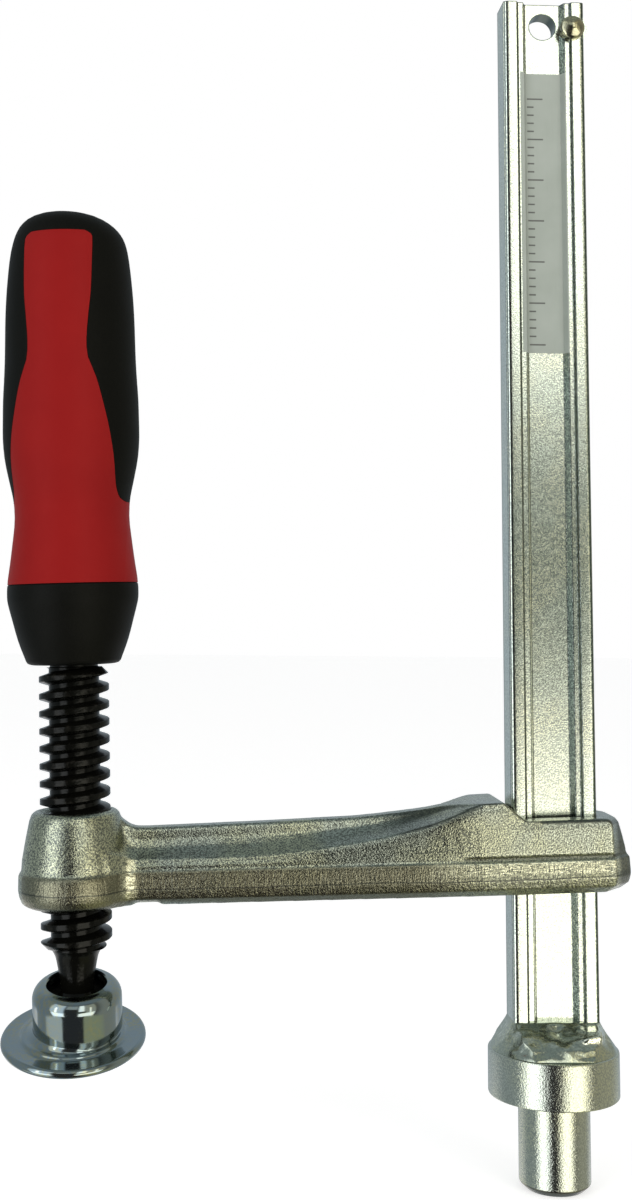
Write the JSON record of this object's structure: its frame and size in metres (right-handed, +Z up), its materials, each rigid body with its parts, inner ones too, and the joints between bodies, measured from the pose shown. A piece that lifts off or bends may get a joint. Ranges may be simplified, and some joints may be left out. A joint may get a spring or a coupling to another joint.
{
  "type": "welding table clamp",
  "caption": "Pin-mounted table clamp with an arm that slides on a recessed rail and a screw spindle with a two-tone handle and a tilting pressure plate.",
  "frame": {"origin": "on the table pin's axis at the underside of its collar, where the clamp rests on a table top", "axes": "+Z up along the pin and the rail, +X from the spindle to the rail's outer edge, the rail's front face to -Y"},
  "size_m": [0.1444, 0.0333, 0.2738],
  "materials": {
    "zinc_rail": "zinc plated drawn steel, fine grain",
    "zinc_arm": "zinc plated forging, grainy",
    "bright_steel": "turned steel",
    "weld": "glossy weld metal under plating",
    "black_steel": "black oxide, oiled",
    "zinc_plate": "bright bluish zinc",
    "spring_steel": "bare spring steel",
    "red_plastic": "satin hard plastic",
    "black_grip": "soft matte grip",
    "label_film": "blank light grey film"
  },
  "bodies": {
    "rail_body": {"rail": "zinc_rail", "stop_pin": "bright_steel", "table_pin": "bright_steel", "weld_bead": "weld", "rail_sticker": "label_film"},
    "arm_body": {"sliding_arm": "zinc_arm"},
    "feed_body": {"ball_ring": "spring_steel"},
    "spindle_body": {"spindle": "black_steel", "handle_core": "red_plastic", "handle_grip": "black_grip", "handle_skirt": "black_grip"},
    "swivel_body": {"thrust_cup": "spring_steel"},
    "plate_body": {"plate_shell": "zinc_plate", "plate_base": "zinc_plate", "retaining_ring": "spring_steel"}
  },
  "joints": [
    {"name": "arm_slide", "type": "slide", "parent": "rail_body", "child": "arm_body", "axis": [0, 0, 1], "range_m": [-0.0272, 0.1825]},
    {"name": "spindle_feed", "type": "slide", "parent": "arm_body", "child": "feed_body", "axis": [-0.0344, 0, 0.9994], "range_m": [-0.0326, 0.0123]},
    {"name": "spindle_turn", "type": "hinge", "parent": "feed_body", "child": "spindle_body", "pos_m": [-0.10712, 0, 0.0183], "axis": [-0.0344, 0, 0.9994], "range_deg": [-3026, 1149]},
    {"name": "plate_swivel", "type": "hinge", "parent": "feed_body", "child": "swivel_body", "pos_m": [-0.10712, 0, 0.0183], "axis": [-0.0344, 0, 0.9994], "continuous": true},
    {"name": "plate_tilt", "type": "hinge", "parent": "swivel_body", "child": "plate_body", "pos_m": [-0.10712, 0, 0.0183], "axis": [0.9994, 0, 0.0344], "range_deg": [-32.1, 2.9]}
  ],
  "couplings": [
    {"joint": "spindle_turn", "follows": "spindle_feed", "rad_per_m": 1611.1}
  ]
}
